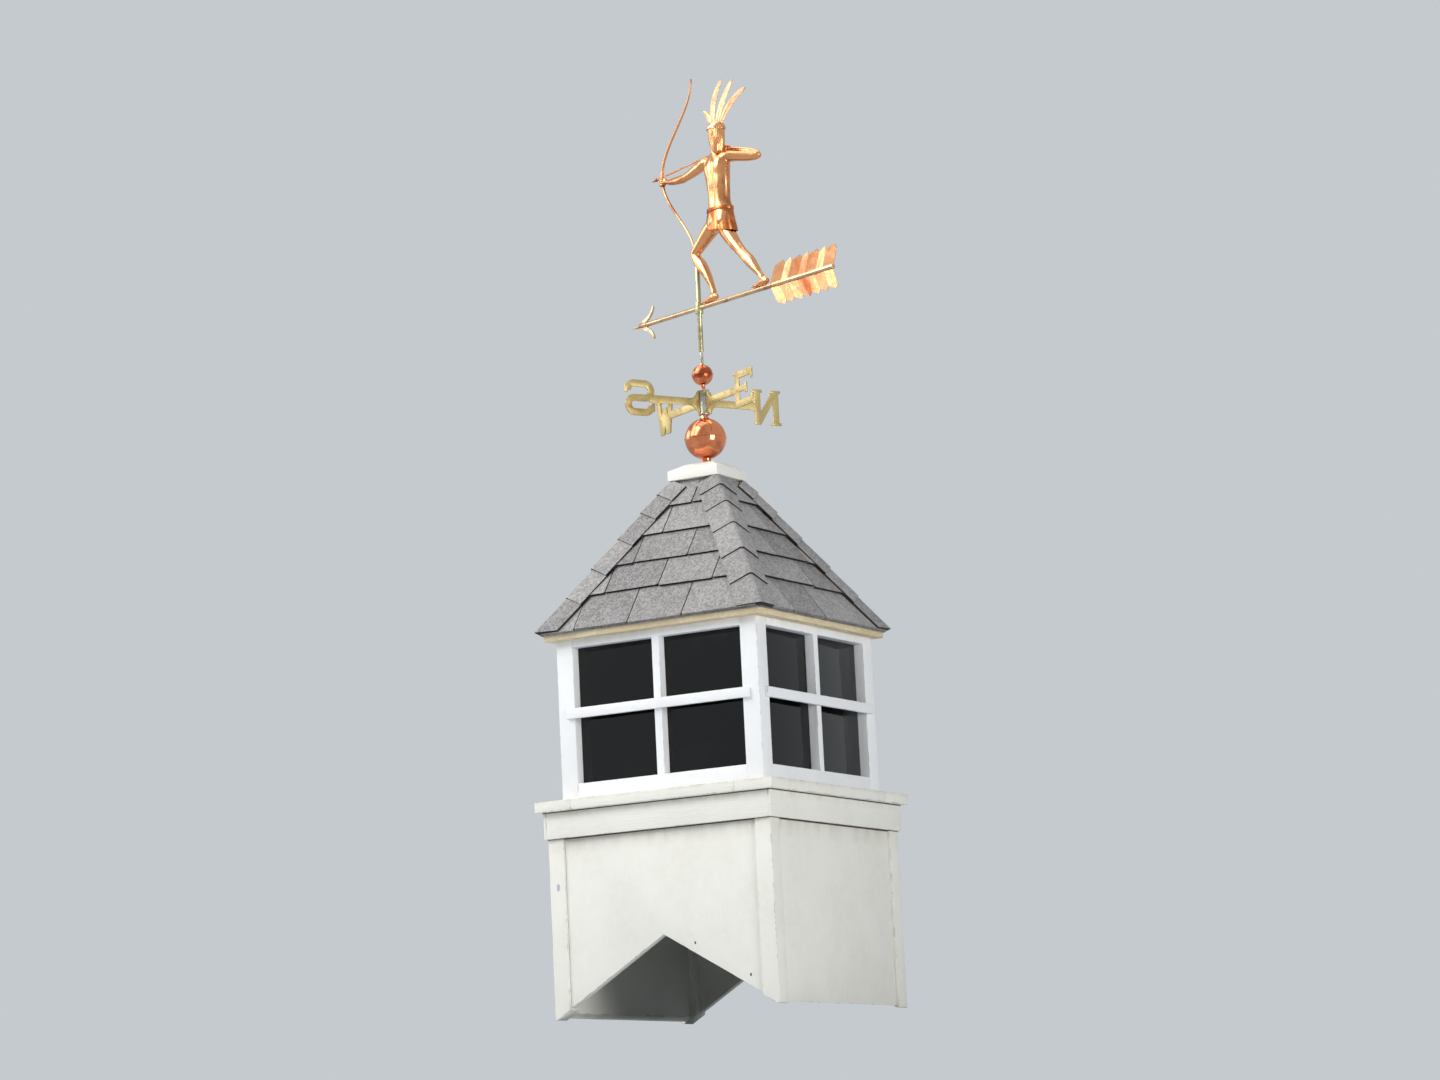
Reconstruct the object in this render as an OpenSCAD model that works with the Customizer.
// Garage cupola: a square base cut to sit over a roof ridge, a glazed lantern,
// a shingled hip roof, and a weathervane with an archer standing on its arrow.
// X runs along the roof ridge, Y across it, and +Z is up. The origin is at the
// centre of the plan, level with the lowest edge of the corner boards.
// Front is -Y, back is +Y, left is -X and right is +X.

/* [Base] */
// Width of the base over its corner boards
base_w = 610; // [560:1:680]
// Height of the base up to the ledge
base_h = 489; // [440:1:540]
// Thickness of the base panels
panel_t = 19; // [12:1:25]
// Width of each corner board
corner_w = 42; // [34:1:50]
// How far the corner boards stand proud of the panels
corner_proud = 6; // [3:0.5:10]
// Level land at the foot of the corner boards
foot_land = 6; // [4:0.5:10]
// Rise of the roof below, in a run of 12
pitch_rise = 7; // [4:0.5:9]
// Gap between the panels and the roof below
panel_lift = 4; // [1:0.5:10]
// Height of the fascia boards
fascia_h = 64; // [45:1:85]
// Thickness of the fascia boards
fascia_t = 7; // [5:0.5:12]

/* [Ledge] */
// Overhang of the ledge past the base
ledge_over = 21.5; // [18:0.5:45]
// Thickness of the ledge boards
ledge_t = 25; // [18:1:32]
// How far the ledge reaches in past the outside of the lantern
ledge_in = 52.5; // [46:0.5:80]

/* [Lantern] */
// Setback of the lantern from the edge of the ledge
lantern_set = 49; // [35:0.5:60]
// Height of the lantern from ledge to soffit
lantern_h = 385; // [330:1:450]
// Width of each square lantern post
post_w = 45; // [38:1:55]
// Height of the bottom rail
bottom_rail_h = 40; // [25:1:55]
// Height of the top rail
top_rail_h = 19; // [12:1:35]
// Depth of the rails and the upright bar
sash_d = 25; // [18:1:32]
// Width of the upright window bar
muntin_w = 20; // [14:1:28]
// Height of the level window bar
bar_h = 24.5; // [18:0.5:32]
// Thickness of the level window bar
bar_t = 8; // [5:0.5:12]
// How far the level bar laps over each post
bar_lap = 20; // [8:1:30]
// Height of the level bar's lower edge above the ledge
bar_up = 195; // [150:1:240]
// Thickness of the glass
glass_t = 4; // [3:0.5:6]
// How far the glass laps behind the rails
glass_lap = 10; // [6:1:12]

/* [Roof] */
// Overhang of the soffit board past the lantern
soffit_over = 21.5; // [18:0.5:40]
// Thickness of the soffit board
soffit_t = 19; // [12:1:24]
// Height of the hip roof above the soffit
roof_rise = 371; // [320:1:430]
// Width of the roof deck where it meets the cap
deck_top_w = 106; // [90:1:112]
// Thickness of the roof deck boards
deck_t = 12; // [9:1:18]
// Number of shingle courses
course_count = 5; // [4:1:7]
// Thickness of a shingle course at its lower edge
shingle_t = 9; // [6:0.5:11]
// Thickness of a shingle course where the next one starts
shingle_thin_t = 3; // [2:0.5:4]
// How far the first course hangs below the deck
eave_drip = 7; // [4:1:16]
// Length of the first course that shows
first_course_l = 105; // [92:1:125]
// Width of a tab slot between two shingles
slot_w = 3; // [2:0.5:8]
// Distance between two tab slots
tab_w = 150; // [110:5:200]
// Width of the hip caps on each side of the hip
hip_wing_w = 50; // [42:1:90]
// Thickness of a hip cap at its lower edge
hip_cap_t = 7; // [4:0.5:8]
// Thickness of a hip cap where the next one starts
hip_thin_t = 2; // [1.5:0.5:3]
// Overhang of the white cap block past the deck
cap_over = 17.5; // [15:0.5:30]
// Height of the cap block's upright sides
cap_side_h = 24; // [16:1:34]
// Height of the cap block's sloping top
cap_slope_h = 17; // [10:1:26]
// Width of the cap block's flat top
cap_flat_w = 76; // [60:1:90]

/* [Spindle, globes and compass] */
// Diameter of the steel spindle
spindle_d = 8; // [6:0.5:10]
// Length of the spindle below the cap block
spindle_tail = 40; // [20:1:80]
// Diameter of the large globe
large_globe_d = 102; // [80:1:120]
// Height of the neck under the large globe
large_neck_h = 14; // [8:1:24]
// Height of the collar between the large globe and the hub
collar_h = 8; // [4:1:14]
// Diameter of the compass hub
hub_d = 26; // [20:1:34]
// Height of the compass hub
hub_h = 62; // [40:1:80]
// Height of the neck under the small globe
small_neck_h = 12; // [8:1:20]
// Diameter of the small globe
small_globe_d = 52; // [40:1:62]
// Reach of each compass arm to its letter
arm_reach = 141; // [110:1:170]
// Height of the compass arms along their length
arm_h = 18; // [10:1:24]
// Height of the compass arms where they meet the hub
arm_root_h = 54; // [30:1:58]
// Thickness of the arms and letters
arm_t = 4; // [2:0.5:6]
// Height of the compass letters
letter_h = 88; // [60:1:110]
// Width of the compass letters
letter_w = 82; // [50:1:90]
// Width of the strokes of the letters
stroke_w = 17; // [10:1:20]
// Thickness of the serifs of the letters
serif_t = 7; // [4:0.5:9]
// How far the serifs reach past a stroke
serif_over = 6; // [2:0.5:8]
// Bearing of the north arm, turned from +X
north_turn = -27; // [-180:1:180]

/* [Vane] */
// Bearing of the arrow, turned from +X
vane_turn = 72; // [-180:1:180]
// Height of the bare spindle between small globe and vane tube
spindle_gap = 33; // [10:1:60]
// Outer diameter of the vane tube
tube_d = 12; // [11:0.5:16]
// Height of the arrow above the foot of the vane tube
arrow_up = 109; // [80:1:150]
// Drop of the tube's top below the middle of the front knee
knee_drop = 8; // [4:0.5:14]
// Diameter of the arrow shaft
shaft_d = 12; // [9:0.5:13]
// Length of the arrow shaft from the tube to the head
shaft_front = 200; // [150:1:260]
// Length of bare shaft behind the feathers
tail_end = 4; // [0:1:60]
// Length of the arrow head from the end of the shaft to its point
point_l = 54; // [40:1:110]
// Reach of the barbs from the shaft's axis
barb_reach = 41; // [28:1:56]
// Thickness of the barbs
barb_t = 6; // [4:0.5:9]
// Gap between the rear heel and the feathers
feather_gap = 8; // [1:0.5:30]
// Length of the feathers along the shaft
feather_l = 220; // [160:1:280]
// Height of each feather from the shaft's axis
feather_h = 54; // [40:1:75]
// Number of ribs in each feather
rib_count = 7; // [5:1:10]
// Lean of the ribs towards the tail, in degrees
rib_lean = 25; // [15:1:38]
// Depth of the teeth at the feather's edge
tooth_h = 9; // [5:0.5:14]
// Thickness of the feather sheet
sheet_t = 2.4; // [1.6:0.2:3]
// Depth of the folds in the feather sheet
fold_d = 7; // [4:0.5:9]

/* [Archer] */
// Height of the archer from sole to crown
archer_h = 448; // [430:1:470]
// Thickness of the bow
bow_t = 7; // [5:0.5:9]
// Depth of the bow at its grip
bow_d = 7; // [5:0.5:9]
// Reach of the bow's curve
bow_reach = 126; // [90:1:135]
// Diameter of the nocked arrow
nock_d = 4.5; // [3:0.5:6]
// Width of the headdress plumes
plume_w = 18; // [12:1:22]
// Length of the archer's feet
foot_l = 46; // [40:1:52]

/* [Hidden] */
$fn = 64;

fit_gap = 0.05;
seat_gap = 0.1;
end_gap = 0.3;
ring_lip = 1.5;
top_collar_h = 3;
past = 3;
leaf_t = 2.4;
far = 2000;

paint_cream = [0.90, 0.90, 0.87];
paint_white = [0.93, 0.95, 0.96];
bare_wood = [0.62, 0.53, 0.36];
shingle_grey = [0.52, 0.50, 0.50];
copper = [0.80, 0.45, 0.30];
brass = [0.78, 0.66, 0.38];
steel = [0.55, 0.55, 0.56];
dark_glass = [0.08, 0.08, 0.09];

base_half = base_w / 2;
panel_half = base_half - corner_proud;
corner_in = base_half - corner_w;
foot_y = base_half - foot_land;
roof_slope = pitch_rise / 12;
ridge_z = foot_y * roof_slope;

ledge_half = base_half + ledge_over;
ledge_top = base_h + ledge_t;

lantern_half = ledge_half - lantern_set;
ledge_open = lantern_half - ledge_in;
post_in = lantern_half - post_w;
soffit_z = ledge_top + lantern_h;
bar_z = ledge_top + bar_up;

soffit_half = lantern_half + soffit_over;
deck_top_half = deck_top_w / 2;
eave_z = soffit_z + soffit_t;
cap_z = eave_z + roof_rise;
cap_half = deck_top_half + cap_over;
roof_run = soffit_half - deck_top_half;
roof_angle = atan(roof_rise / roof_run);
slope_l = norm([roof_run, roof_rise]);
exposure = (slope_l + eave_drip - first_course_l) / (course_count - 1);
hip_l = norm([roof_run, slope_l]);
hip_lean = atan(roof_run / slope_l);
hip_laps = [-0.06, 0.2, 0.395, 0.59, 0.755, 0.885];

cap_side_z = cap_z + cap_side_h;
cap_top = cap_side_z + cap_slope_h;
large_z = cap_top + large_neck_h + large_globe_d / 2;
hub_z = large_z + large_globe_d / 2 + collar_h;
arm_z = hub_z + hub_h / 2;
small_z = hub_z + hub_h + small_neck_h + small_globe_d / 2;
tube_z = small_z + small_globe_d / 2 + spindle_gap;
arrow_z = tube_z + arrow_up;
fitting_wall = 4;
fitting_d = max(tube_d, shaft_d) + 2 * fitting_wall;
fitting_h = shaft_d + 4 * fitting_wall;
bore_end_h = 3;
spindle_top = arrow_z - fitting_h / 2 - bore_end_h;

// The figure's places are drawn for this height and grow with archer_h
drawn_h = 448;
drawn_sole = 6;
grown = archer_h / drawn_h;
sole_z = shaft_d / 2 + seat_gap;
front_heel = -62;
rear_heel = -248;
heel_r = 8;
feather_start = (heel_r - rear_heel) * grown + feather_gap;
shaft_back = feather_start + feather_l + tail_end;

// Turns what is drawn for the front to one of the four sides
module on_side(k) rotate([0, 0, 90 * k]) children();

// Draws an outline of y and z as a prism along X
module along_x(length) rotate([90, 0, 90]) linear_extrude(length, center = true) children();

// A box given by two opposite corners
module span(a, b) translate(a) cube(b - a);

// The roof that the base straddles, raised by a gap
module roof_below(lift) along_x(far) polygon([
    [-base_half - 1, -1 - lift], [-base_half - 1, lift - 1], [-foot_y, lift],
    [0, ridge_z + lift], [foot_y, lift], [base_half + 1, lift - 1], [base_half + 1, -1 - lift]
]);

// A square frustum that stands on z = 0
module frustum(bottom_half, top_half, height) {
    trapezoid = [[-bottom_half, 0], [bottom_half, 0], [top_half, height], [-top_half, height]];
    intersection() {
        along_x(4 * bottom_half) polygon(trapezoid);
        rotate([0, 0, 90]) along_x(4 * bottom_half) polygon(trapezoid);
    }
}

module panel(k) color(paint_cream) difference() {
    on_side(k) span([-corner_in, -panel_half, 0], [corner_in, panel_t - panel_half, base_h]);
    roof_below(panel_lift);
}

module corner_board(k) color(paint_cream) difference() {
    on_side(k) span([-base_half, -base_half, 0], [-corner_in, -corner_in, base_h]);
    intersection() {
        roof_below(0);
        span([-far, -foot_y, -1], [far, foot_y, base_h]);
    }
}

// Front and back boards run the full width and the others butt between them
module fascia(k) {
    reach = k % 2 == 0 ? base_half + fascia_t : base_half;
    color(paint_cream) on_side(k)
        span([-reach, -base_half - fascia_t, base_h - fascia_h], [reach, -base_half, base_h]);
}

module ledge(k) {
    reach = k % 2 == 0 ? ledge_half : ledge_open;
    color(paint_cream) on_side(k)
        span([-reach, -ledge_half, base_h], [reach, -ledge_open, ledge_top]);
}

module lantern_posts() color(paint_white) for (k = [0:3]) on_side(k)
    span([-lantern_half, -lantern_half, ledge_top], [-post_in, -post_in, soffit_z]);

// Rails and upright bar between the posts, with the level bar over them
module window(k) {
    front = -lantern_half;
    back = front + sash_d;
    color(paint_white) on_side(k) {
        span([-post_in, front, ledge_top], [post_in, back, ledge_top + bottom_rail_h]);
        span([-post_in, front, soffit_z - top_rail_h], [post_in, back, soffit_z]);
        span([-muntin_w / 2, front, ledge_top], [muntin_w / 2, back, soffit_z]);
        span([-post_in - bar_lap, front - bar_t, bar_z], [post_in + bar_lap, front, bar_z + bar_h]);
    }
}

module window_glass() color(dark_glass, 0.6) for (k = [0:3]) on_side(k)
    span([seat_gap - post_in, sash_d - lantern_half, ledge_top + bottom_rail_h - glass_lap],
         [post_in - seat_gap, sash_d + glass_t - lantern_half, soffit_z - top_rail_h + glass_lap]);

module soffit() color(bare_wood)
    span([-soffit_half, -soffit_half, soffit_z], [soffit_half, soffit_half, eave_z]);

module roof_deck() {
    inset = deck_t / sin(roof_angle);
    color(bare_wood) translate([0, 0, eave_z]) difference() {
        frustum(soffit_half, deck_top_half, roof_rise);
        frustum(soffit_half - inset, deck_top_half - inset, roof_rise);
    }
}

// Puts a drawing on the front roof face, with Y up the slope and Z out of it
module on_roof_face() translate([0, -soffit_half, eave_z]) rotate([roof_angle, 0, 0]) children();

// The space over one roof face, mitred at its hips and level under the cap
module face_space() translate([0, 0, soffit_z - 100])
    linear_extrude(cap_z - soffit_z + 100) polygon([[0, 0], [-far, -far], [far, -far]]);

// A saw-tooth section of lapped pieces that start at the given places
function lap_outline(starts, end, floor_n, thick, thin) = concat(
    [[starts[0], floor_n]],
    [for (i = [0:len(starts) - 1], edge = [0, 1])
        let (next = i < len(starts) - 1 ? starts[i + 1] : end)
        edge == 0 ? [starts[i], floor_n + thick] : [next, floor_n + thin]],
    [[end, floor_n]]
);

// Courses lie over each other up the face, with slots between their tabs
module shingles(k) {
    starts = [for (i = [0:course_count - 1])
        i == 0 ? -eave_drip : first_course_l - eave_drip + (i - 1) * exposure];
    slot_depth = shingle_t - shingle_thin_t;
    color(shingle_grey) on_side(k) intersection() {
        on_roof_face() difference() {
            along_x(4 * soffit_half) polygon(lap_outline(starts, slope_l + eave_drip, 0,
                                                      shingle_t, shingle_thin_t));
            for (i = [0:course_count - 1]) {
                half = soffit_half - starts[i] * cos(roof_angle);
                shift = (i * 0.37 + k * 0.21) % 1 * tab_w;
                length = i == 0 ? first_course_l : exposure;
                reach = half - 1.5 * hip_wing_w;
                for (x = [shift - tab_w * ceil(half / tab_w): tab_w: reach])
                    if (x > -reach)
                        translate([x - slot_w / 2, starts[i] - 1, shingle_thin_t])
                            cube([slot_w, length + 1, slot_depth + 1]);
            }
        }
        face_space();
    }
}

// One wing of the lapped caps, on the front face beside its right hip
module hip_wing() {
    starts = [for (share = hip_laps) share * hip_l];
    intersection() {
        on_roof_face() intersection() {
            translate([soffit_half, 0, 0]) rotate([0, 0, hip_lean])
                translate([hip_wing_w / 2, 0, 0]) along_x(3 * hip_wing_w)
                    polygon(lap_outline(starts, 1.1 * hip_l, shingle_t, hip_cap_t, hip_thin_t));
            translate([-far / 2, -eave_drip, 0]) cube([far, far, far]);
        }
        face_space();
    }
}

module hip_caps() color(shingle_grey) for (k = [0:3]) on_side(k) {
    hip_wing();
    rotate([0, 0, 90]) mirror([1, 0, 0]) hip_wing();
}

module roof_cap() color(paint_white) translate([0, 0, cap_z]) difference() {
    union() {
        span([-cap_half, -cap_half, 0], [cap_half, cap_half, cap_side_h]);
        translate([0, 0, cap_side_h]) frustum(cap_half, cap_flat_w / 2, cap_slope_h);
    }
    translate([0, 0, -1]) cylinder(d = spindle_d + 2 * fit_gap, h = cap_top - cap_z + 2);
}

module spindle() color(steel) translate([0, 0, cap_z - spindle_tail])
    cylinder(d = spindle_d, h = spindle_top - cap_z + spindle_tail);

// A globe with a seam at its middle and a neck at each end, bored for the spindle
module globe(diameter, neck_d, neck_h, top_h) {
    radius = diameter / 2;
    seam = 1.2;
    rotate_extrude($fn = 96) difference() {
        union() {
            intersection() {
                circle(radius, $fn = 128);
                translate([0, -radius]) square([radius, diameter]);
            }
            translate([0, -seam]) square([radius + seam, 2 * seam]);
            translate([0, -radius - neck_h]) square([neck_d / 2, neck_h + radius / 2]);
            translate([0, radius / 2]) square([neck_d / 3, top_h + radius / 2]);
        }
        translate([-1, -far / 2]) square([1 + spindle_d / 2 + fit_gap, far]);
    }
}

module large_globe() color(copper) translate([0, 0, large_z])
    globe(large_globe_d, hub_d, large_neck_h, collar_h);

module small_globe() color(copper) translate([0, 0, small_z])
    globe(small_globe_d, hub_d / 1.5, small_neck_h, top_collar_h);

// The hub is a tube with a ring at each end, and the arms butt against it
module compass_hub() color(steel) translate([0, 0, hub_z]) difference() {
    ring_h = (hub_h - arm_root_h) / 2 - seat_gap;
    union() {
        cylinder(d = hub_d, h = hub_h);
        cylinder(d = hub_d + 2 * ring_lip, h = ring_h);
        translate([0, 0, hub_h - ring_h]) cylinder(d = hub_d + 2 * ring_lip, h = ring_h);
    }
    translate([0, 0, -1]) cylinder(d = spindle_d + 2 * fit_gap, h = hub_h + 2);
}

// A straight stroke of a letter between two points
module stroke(a, b) {
    along = b - a;
    translate(a) rotate(atan2(along[1], along[0])) translate([0, -stroke_w / 2])
        square([norm(along), stroke_w]);
}

// A level bar of a letter, given by its ends and the height of its middle
module bar(from, to, y, thick) translate([from, y - thick / 2]) square([to - from, thick]);

// A serif at the top or foot of an upright stroke
module serif(x, end) bar(x - stroke_w / 2 - serif_over, x + stroke_w / 2 + serif_over,
                         end * (letter_h - serif_t) / 2, serif_t);

// Cuts a letter's slanting strokes, which run past its edges, to its size
module letter_frame() intersection() {
    square([letter_w, letter_h], center = true);
    children();
}

module letter_n() letter_frame() {
    x = letter_w / 2 - stroke_w / 2 - serif_over;
    y = letter_h / 2;
    stroke([-x, -y], [-x, y]);
    stroke([x, -y], [x, y]);
    stroke([-x - stroke_w / 4, y + past], [x + stroke_w / 4, -y - past]);
    serif(-x, 1);
    serif(-x, -1);
    serif(x, 1);
}

module letter_e() letter_frame() {
    left = -letter_w / 2;
    right = letter_w / 2;
    y = (letter_h - stroke_w) / 2;
    tongue = 0.1 * letter_w;
    tongue_h = 0.8 * stroke_w;
    bar(left, left + stroke_w + serif_over, (letter_h - serif_t) / 2, serif_t);
    stroke([left + serif_over + stroke_w / 2, -letter_h / 2], [left + serif_over + stroke_w / 2, letter_h / 2]);
    bar(left, left + stroke_w, -(letter_h - serif_t) / 2, serif_t);
    bar(left + serif_over, tongue + serif_t, 0, tongue_h);
    bar(tongue, tongue + serif_t, 0, tongue_h + 2 * serif_over);
    for (end = [-1, 1]) {
        bar(left + serif_over, right, end * y, stroke_w);
        bar(right - serif_t, right, end * (y - serif_over / 2), stroke_w + 2 * serif_over);
    }
}

// Two circles side by side, joined by a square
module stadium(radius, spread) {
    for (side = [-1, 1]) translate([side * spread, 0]) circle(radius, $fn = 48);
    square(2 * [spread, radius], center = true);
}

// Two bowls that open to opposite sides, with a serif at each open end
module letter_s() {
    outer = (letter_h + stroke_w) / 4;
    spread = letter_w / 2 - outer;
    for (turn = [0, 180]) rotate(turn) {
        translate([0, outer - stroke_w / 2]) difference() {
            stadium(outer, spread);
            stadium(outer - stroke_w, spread);
            translate([0, -outer]) square([outer + spread + 1, outer]);
        }
        translate([letter_w / 2 - serif_t, outer - stroke_w / 2 - serif_over])
            square([serif_t, outer - serif_over]);
    }
    bar(-spread - 0.5, spread + 0.5, 0, stroke_w);
}

module letter_w() letter_frame() {
    x = letter_w / 2 - stroke_w / 2 - serif_over;
    for (side = [-1, 1]) {
        stroke([side * (x + past), letter_h / 2 + past], [side * x / 2, -letter_h / 2 - past]);
        stroke([side * x / 2, -letter_h / 2], [0, letter_h / 4]);
        serif(side * x, 1);
    }
}

// A flat arm that flares to the hub, with its letter standing upright at the end
module arm_outline(k) {
    fillet = (arm_root_h - arm_h) / 2;
    root_l = hub_d / 2 + 2 * arm_t;
    difference() {
        translate([0, -arm_root_h / 2]) square([root_l + fillet, arm_root_h]);
        for (side = [-1, 1]) translate([root_l + fillet, side * arm_root_h / 2]) circle(fillet);
    }
    bar(root_l, arm_reach + stroke_w / 2 + serif_over, 0, arm_h);
    translate([arm_reach + letter_w / 2, 0]) {
        if (k == 0) mirror([1, 0]) letter_n();
        if (k == 1) letter_w();
        if (k == 2) letter_s();
        if (k == 3) letter_e();
    }
}

module compass_arm(k) color(brass) rotate([0, 0, north_turn + 90 * k]) translate([0, 0, arm_z])
    difference() {
        translate([0, arm_t / 2, 0]) rotate([90, 0, 0]) linear_extrude(arm_t) arm_outline(k);
        cylinder(d = hub_d + 2 * fit_gap, h = 2 * arm_root_h, center = true);
    }

// Places on the figure, measured from where the tube crosses the arrow
function place(s, z, t = 0) = [s * grown, t * grown, sole_z + (z - drawn_sole) * grown];
knee_at = place(3, 138);
grip_at = place(125, 357, -8);
bow_hand_at = place(121, 348, -8);
draw_hand_at = place(-98, 385, -33);
head_at = place(-96, 427);
tube_up = knee_at[2] - knee_drop;

// Turns the vane's own frame, where X runs along the arrow and z = 0 is its axis
module on_vane() translate([0, 0, arrow_z]) rotate([0, 0, vane_turn]) children();

// The tube turns on the spindle and holds the arrow in a cross fitting
module vane_tube() color(brass) on_vane() difference() {
    union() {
        translate([0, 0, tube_z - arrow_z]) cylinder(d = tube_d, h = arrow_up + tube_up);
        translate([0, 0, -fitting_h / 2]) cylinder(d = fitting_d, h = fitting_h);
    }
    translate([0, 0, tube_z - arrow_z - 1])
        cylinder(d = spindle_d + 2 * fit_gap, h = 1 + spindle_top - tube_z + end_gap);
    rotate([0, 90, 0]) cylinder(d = shaft_d + 2 * fit_gap, h = 2 * fitting_d, center = true);
}

module arrow_shaft() color(brass) on_vane() rotate([0, 90, 0]) translate([0, 0, -shaft_back])
    cylinder(d = shaft_d, h = shaft_back + shaft_front);

// The outline of a ribbon that follows a line, with its half width at each point
function ribbon(line, halves) =
    let (last = len(line) - 1,
         sides = [for (i = [0:last])
             let (d = line[min(i + 1, last)] - line[max(i - 1, 0)]) halves[i] * [-d[1], d[0]] / norm(d)])
    concat([for (i = [0:last]) line[i] + sides[i]], [for (i = [last:-1:0]) line[i] - sides[i]]);

// A slim point with two barbs that sweep back and bend outwards
module arrow_head() color(brass) on_vane() translate([shaft_front, 0, 0]) {
    socket_l = 16;
    socket_d = shaft_d + 2;
    tip_d = 3;
    barb_line = [[0.24, 0], [0, 0.12], [-0.34, 0.26], [-0.62, 0.4], [-0.84, 0.58], [-0.98, 0.79], [-1.06, 1]];
    barb_halves = [0.12, 0.13, 0.105, 0.085, 0.07, 0.055, 0.03];
    rotate([0, 90, 0]) {
        cylinder(d = socket_d, h = socket_l);
        translate([0, 0, socket_l]) cylinder(d1 = socket_d, d2 = tip_d, h = point_l - socket_l);
    }
    for (side = [0, 1]) mirror([0, 0, side]) translate([socket_l, barb_t / 2, 0]) rotate([90, 0, 0])
        linear_extrude(barb_t) difference() {
            polygon(ribbon(barb_reach * barb_line, barb_reach * barb_halves));
            translate([-far, -far]) square([far, far + socket_d / 4]);
        }
}

// A folded sheet, seen across its ribs
function fold_outline(count, pitch, depth, thick) = concat(
    [for (i = [0:2 * count]) [i * pitch / 2, (i % 2 - 0.5) * depth + thick / 2]],
    [for (i = [2 * count:-1:0]) [i * pitch / 2, (i % 2 - 0.5) * depth - thick / 2]]
);

// The feather's edge has one tooth for each rib and leans towards the tail
function feather_outline() =
    let (pitch = feather_l / rib_count, lean = tan(rib_lean))
    concat(
        [[0, 0]],
        [for (i = [0:rib_count - 1], edge = [0, 1])
            edge == 0
                ? [-i * pitch - (feather_h - tooth_h) * lean, feather_h - tooth_h]
                : [-(i + 0.7) * pitch - (feather_h - tooth_h) * lean, feather_h]],
        [[-feather_l - (feather_h - tooth_h) * lean, feather_h - tooth_h], [-feather_l, 0]]
    );

// The creases run just behind the notches between the teeth
module feather() {
    pitch = feather_l / rib_count * cos(rib_lean);
    behind = 0.1;
    intersection() {
        rotate([0, -rib_lean, 0]) translate([-(rib_count + 2 + behind) * pitch, 0, -feather_h])
            linear_extrude(feather_l + 2 * feather_h)
                polygon(fold_outline(rib_count + 4, pitch, fold_d, sheet_t));
        rotate([90, 0, 0]) linear_extrude(4 * fold_d, center = true) polygon(feather_outline());
    }
}

module arrow_feathers() color(copper) on_vane() difference() {
    for (side = [0, 1]) mirror([0, 0, side]) translate([-feather_start, 0, 0]) feather();
    translate([-2 * shaft_back, 0, 0]) rotate([0, 90, 0])
        cylinder(d = shaft_d + 2 * fit_gap, h = 2 * shaft_back);
}

function unit(v) = v / norm(v);
function backwards(list) = [for (i = [len(list) - 1:-1:0]) list[i]];

// The points of an oval ring about a centre, square to a direction
function ring(centre, along, wide, deep, count) =
    let (w = unit(along), u = unit(cross([0, 1, 0], w)), v = cross(w, u))
    [for (i = [0:count - 1]) centre + wide * cos(360 * i / count) * u + deep * sin(360 * i / count) * v];

// A skin over rings of equal count, closed flat at both ends
module skin(rings) {
    count = len(rings[0]);
    last = len(rings) - 1;
    points = [for (one = rings, point = one) point];
    sides = [for (i = [0:last - 1], j = [0:count - 1])
        let (a = i * count + j, b = i * count + (j + 1) % count) [a, a + count, b + count, b]];
    polyhedron(points, concat(
        sides, [[for (j = [0:count - 1]) j]], [[for (j = [count - 1:-1:0]) last * count + j]]), 4);
}

// A limb through a list of stations, each with a place, a width and a depth
module limb(stations, count = 14) {
    last = len(stations) - 1;
    skin([for (i = [0:last])
        let (from = stations[max(i - 1, 0)][0], to = stations[min(i + 1, last)][0])
        ring(stations[i][0], to - from, stations[i][1] * grown, stations[i][2] * grown, count)]);
}

module ball(at, size) translate(at) scale(size * grown) sphere(1, $fn = 16);

module leg_front() limb([
    [place(-86, 202), 14, 14], [place(-72, 194), 20, 20], [place(-40, 172), 17, 17.5],
    [place(-12, 150), 13.5, 14], [knee_at, 12, 12.5], [place(-1, 124), 11.5, 12.5],
    [place(-16, 103), 13, 13.5], [place(-38, 72), 10.5, 11], [place(-53, 42), 7, 7.5],
    [place(-59, 25), 6.6, 7], [place(-61, 12), 7.2, 7.8]
]);

module leg_rear() limb([
    [place(-102, 200), 14, 14], [place(-108, 190), 21, 21], [place(-124, 160), 18, 18],
    [place(-146, 130), 14.5, 15], [place(-160, 114), 13, 13.5], [place(-172, 100), 12.5, 13],
    [place(-192, 78), 13, 13], [place(-214, 54), 10.5, 11], [place(-234, 32), 7.4, 8],
    [place(-245, 15), 7.2, 7.8]
]);

// A foot from its heel to its toe, flat underneath
module foot(heel) intersection() {
    instep = heel_r * 0.9;
    toe = heel + foot_l - instep;
    hull() {
        ball(place(heel, 16), heel_r);
        ball(place(heel + instep, 24), instep);
        ball(place((heel + toe) / 2 + instep, 14), instep);
        ball(place(toe, 11), 0.9 * instep);
    }
    translate([-far / 2, -far / 2, sole_z]) cube(far);
}

module torso() limb([
    [place(-98, 172), 27, 18], [place(-98, 186), 38, 24], [place(-97, 206), 41, 25],
    [place(-96, 226), 38, 23], [place(-95, 246), 34, 21], [place(-95, 272), 34, 21],
    [place(-94, 306), 37, 23], [place(-92, 334), 39, 23], [place(-90, 350), 37, 20],
    [place(-89, 361), 26, 15], [place(-90, 370), 14, 12]
], 18);

// The neck, with straight hair that falls over it from under the band
module neck() {
    limb([[place(-89, 358), 14, 13], [place(-90, 372), 12, 12], [place(-91, 384), 12, 12],
          [place(-92, 400), 13, 13]]);
    limb([[place(-99, 368), 9, 12], [place(-99, 378), 14, 15], [place(-98, 394), 18, 17],
          [place(-97, 412), 20.5, 17.5], [head_at, 21, 18]]);
}

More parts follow.
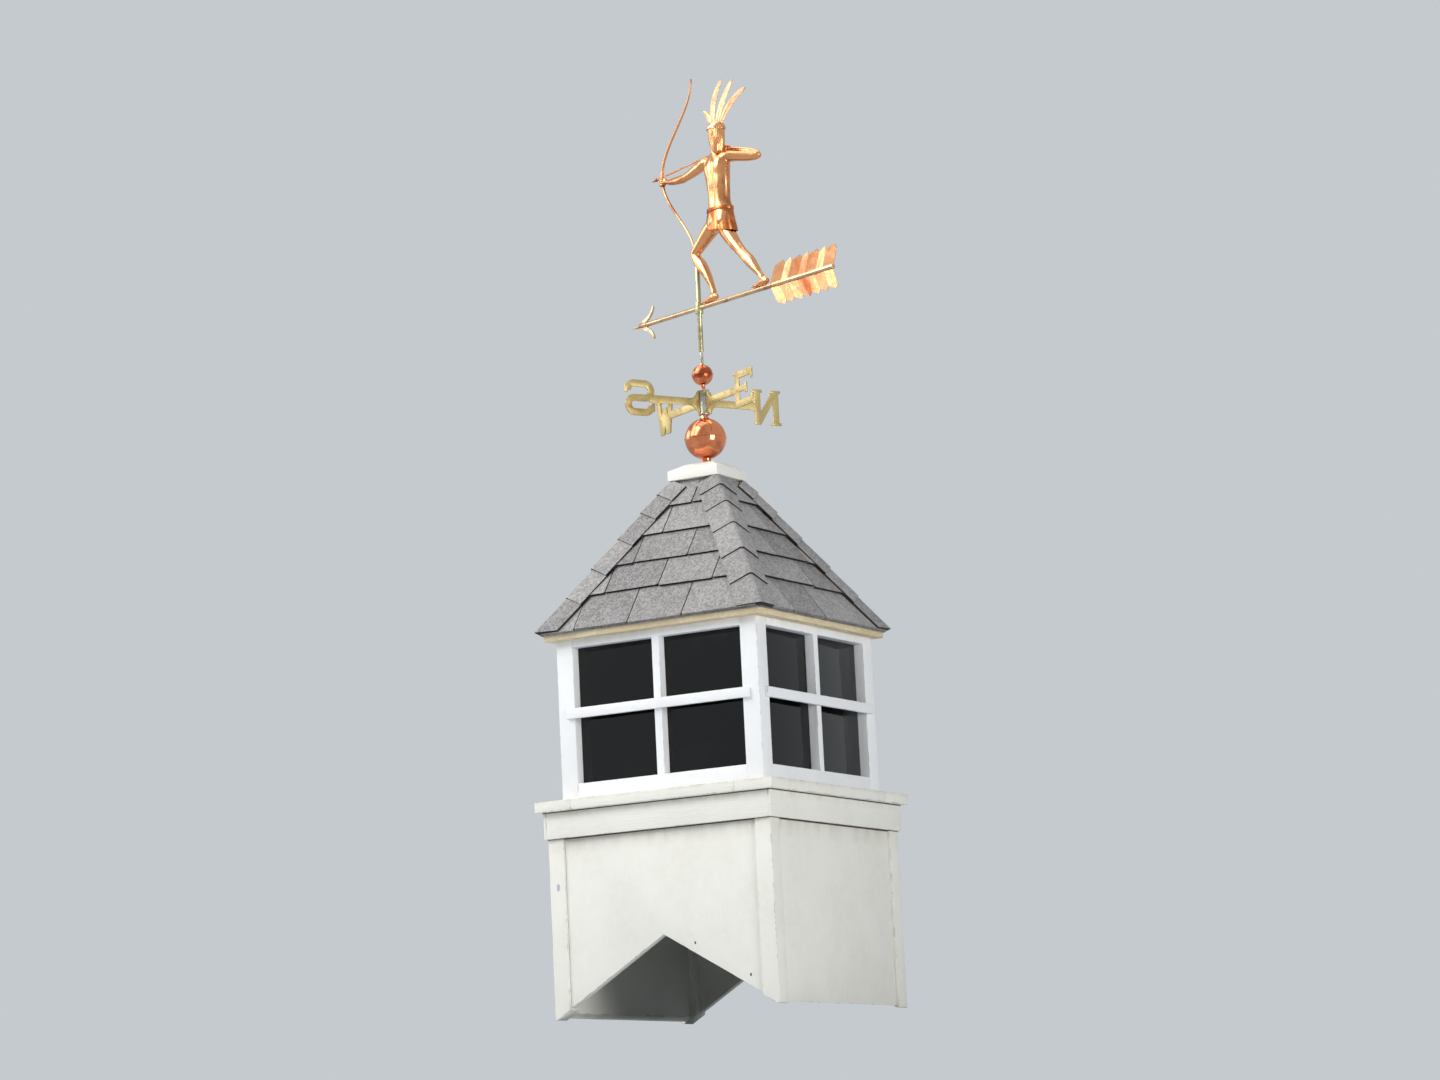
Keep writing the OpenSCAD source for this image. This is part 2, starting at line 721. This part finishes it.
module bow_arm() limb([
    [place(-66, 352), 12, 12], [place(-50, 354), 15, 15], [place(-28, 351, -1), 13.5, 13.5],
    [place(6, 343, -3), 11, 11], [place(28, 339, -4), 10, 10.5], [place(50, 338, -5), 10.5, 11],
    [place(88, 341, -7), 8, 8.5], [place(108, 345, -8), 6, 7], [place(116, 347, -8), 7, 8]
]);

module draw_arm() {
    limb([
        [place(-104, 352), 12, 12], [place(-120, 355, -4), 14.5, 14.5],
        [place(-144, 353, -17), 12, 12], [place(-170, 349, -33), 10.5, 10.5],
        [place(-186, 347, -42), 9.5, 9.5], [place(-194, 348, -46), 7.5, 7.5]
    ]);
    limb([
        [place(-195, 344, -46), 7.5, 7.5], [place(-188, 352, -46), 10.5, 10.5],
        [place(-170, 361, -44), 10.5, 10.5], [place(-146, 370, -41), 8.5, 8.5],
        [place(-120, 379, -37), 6.2, 6.6], [place(-106, 383, -34), 6.4, 7]
    ]);
}

// Places on the head, measured from the middle of its crown
function on_head(s, z, t = 0) = head_at + [s, t, z] * grown;

// A plain head that looks along the arrow, with brow, nose, lips, chin and ears
module head() {
    hull() {
        crown(0, -60);
        ball(on_head(11, -23), [12, 13, 12]);
        ball(on_head(15.5, -31), [7, 8, 6]);
    }
    hull() {
        ball(on_head(25.5, -12), [2.6, 2.4, 2]);
        ball(on_head(27, -21), [4.5, 3.6, 2.6]);
    }
    hull() for (side = [-1, 1]) ball(on_head(20.5, -9, 7.5 * side), [3.4, 4.5, 2.4]);
    hull() for (side = [-1, 1]) ball(on_head(22.5, -27, 3.3 * side), [3.6, 3, 2.2]);
    for (side = [-1, 1]) hull() {
        ball(on_head(-1, -10, 18 * side), [3, 2.2, 4]);
        ball(on_head(-2, -16, 17.5 * side), [2.6, 2, 3]);
    }
}

module hands() {
    hull() {
        ball(bow_hand_at, [9, 8.5, 9]);
        ball(bow_hand_at + [5, 0, 0] * grown, [9, 8, 9]);
    }
    hull() {
        ball(draw_hand_at, [9, 7.5, 8]);
        ball(draw_hand_at + [6, 2, 0] * grown, [7, 6.5, 8]);
    }
}

// A belt with a hide skirt round the hips
module loincloth() {
    limb([[place(-96, 221), 40, 25], [place(-96, 223), 41.5, 26.5], [place(-96, 229), 41.5, 26.5],
          [place(-96, 231), 40, 25]], 24);
    limb([[place(-99, 173), 52, 27.5], [place(-98, 200), 46, 26.5], [place(-96, 225), 39.5, 24.5]], 24);
}

module archer() color(copper) on_vane() difference() {
    union() {
        torso();
        neck();
        head();
        leg_front();
        leg_rear();
        foot(front_heel);
        foot(rear_heel);
        bow_arm();
        draw_arm();
        hands();
        loincloth();
    }
    translate([0, 0, -far]) cylinder(d = tube_d + 2 * seat_gap, h = far + tube_up + seat_gap, $fn = 24);
    bow_shape(seat_gap);
    nocked_arrow(seat_gap);
}

// A curved feather with a raised quill, given by its root, its bend and its tip
module plume(root, bend, tip, width) {
    steps = 8;
    quill_share = 0.14;
    line = [for (i = [0:steps])
        let (v = i / steps, at = (1 - v) * (1 - v) * root + 2 * v * (1 - v) * bend + v * v * tip)
        [at[0], at[2]]];
    halves = [for (i = [0:steps])
        width / 2 * (0.45 + 0.55 * sin(180 * pow(i / steps, 0.8))) * (i == steps ? 0.5 : 1)];
    rotate([90, 0, 0]) {
        linear_extrude(leaf_t, center = true) polygon(ribbon(line, halves));
        linear_extrude(2 * leaf_t, center = true) polygon(ribbon(line, quill_share * halves));
    }
}

// The upper half of the head, with room round it for the crown that it wears
module crown(room, from) limb([
    for (turn = [from, 0, 15, 30, 45, 60, 72, 82])
        [on_head(0, (23.5 + room) * sin(turn)), (22.5 + room) * cos(turn), (18.5 + room) * cos(turn)]
], 24);

// A band round the head with a low crown, and plumes that rise and bend back from it
module headdress() color(copper) on_vane() difference() {
    union() {
        limb([[on_head(1, 2), 25, 21], [on_head(1, 6), 26.5, 22.5], [on_head(1, 10), 25, 21]], 24);
        intersection() {
            crown(3.2, -20);
            translate(on_head(0, 6) - [far / 2, far / 2, 0]) cube(far);
        }
        plume(place(-85, 440), place(-78, 508), place(-125, 550), plume_w * grown);
        plume(place(-98, 440), place(-119, 500), place(-164, 540), plume_w * grown);
        plume(place(-110, 438), place(-150, 494), place(-210, 508), plume_w * grown);
        plume(place(-80, 444), place(-70, 472), place(-52, 486), 0.7 * plume_w * grown);
    }
    crown(0.5, -20);
    limb([[on_head(0, -10), 23, 19], [on_head(0, 12), 23, 19]], 24);
}

// The bow's curve: how far it reaches ahead of the tube at a height from its grip
bow_half = 226 * grown;
bow_steps = 16;
lower_share = 0.89;
function reach_at(d) = bow_reach * grown / 2 * (d < 0 ? lower_share : 1);
function bow_s(d) = grip_at[0] - reach_at(d) * (1 - cos(180 * d / bow_half));
function bow_side(offset) = [for (i = [-bow_steps:bow_steps])
    let (d = i / bow_steps * bow_half, slope = reach_at(d) * sin(180 * d / bow_half) * PI / bow_half,
         taper = 1 - 0.45 * pow(abs(i / bow_steps), 2))
    [bow_s(d) + offset * taper * cos(atan(slope)), d + offset * taper * sin(atan(slope))]];

module bow_shape(extra) translate([0, grip_at[1], grip_at[2]]) rotate([90, 0, 0])
    linear_extrude(bow_t + 2 * extra, center = true)
        polygon(concat(bow_side(bow_d / 2 + extra), backwards(bow_side(-bow_d / 2 - extra))));

// The nocked arrow runs from the draw hand past the grip
module nocked_arrow(extra) {
    from = draw_hand_at + [12, 4, 2] * grown;
    along = grip_at + [0, 0, 4] * grown - from;
    past_grip = 18 * grown;
    length = norm(along) + past_grip;
    translate(from) rotate([0, acos(along[2] / norm(along)), atan2(along[1], along[0])]) {
        translate([0, 0, -extra]) cylinder(d = nock_d + 2 * extra, h = length + extra);
        translate([0, 0, length]) cylinder(d1 = 2 * nock_d, d2 = 1, h = 4 * nock_d);
    }
}

module bow() color(copper) on_vane() {
    bow_shape(0);
    nocked_arrow(0);
}

panel(0);  // front_panel
panel(1);  // right_panel
panel(2);  // back_panel
panel(3);  // left_panel
corner_board(0);  // front_left_corner_board
corner_board(1);  // front_right_corner_board
corner_board(2);  // back_right_corner_board
corner_board(3);  // back_left_corner_board
fascia(0);  // front_fascia
fascia(1);  // right_fascia
fascia(2);  // back_fascia
fascia(3);  // left_fascia
ledge(0);  // front_ledge
ledge(1);  // right_ledge
ledge(2);  // back_ledge
ledge(3);  // left_ledge
lantern_posts();
window(0);  // front_window
window(1);  // right_window
window(2);  // back_window
window(3);  // left_window
window_glass();
soffit();
roof_deck();
shingles(0);  // front_shingles
shingles(1);  // right_shingles
shingles(2);  // back_shingles
shingles(3);  // left_shingles
hip_caps();
roof_cap();
spindle();
large_globe();
compass_hub();
small_globe();
compass_arm(0);  // north_arm
compass_arm(1);  // west_arm
compass_arm(2);  // south_arm
compass_arm(3);  // east_arm
vane_tube();
arrow_shaft();
arrow_head();
arrow_feathers();
archer();
headdress();
bow();
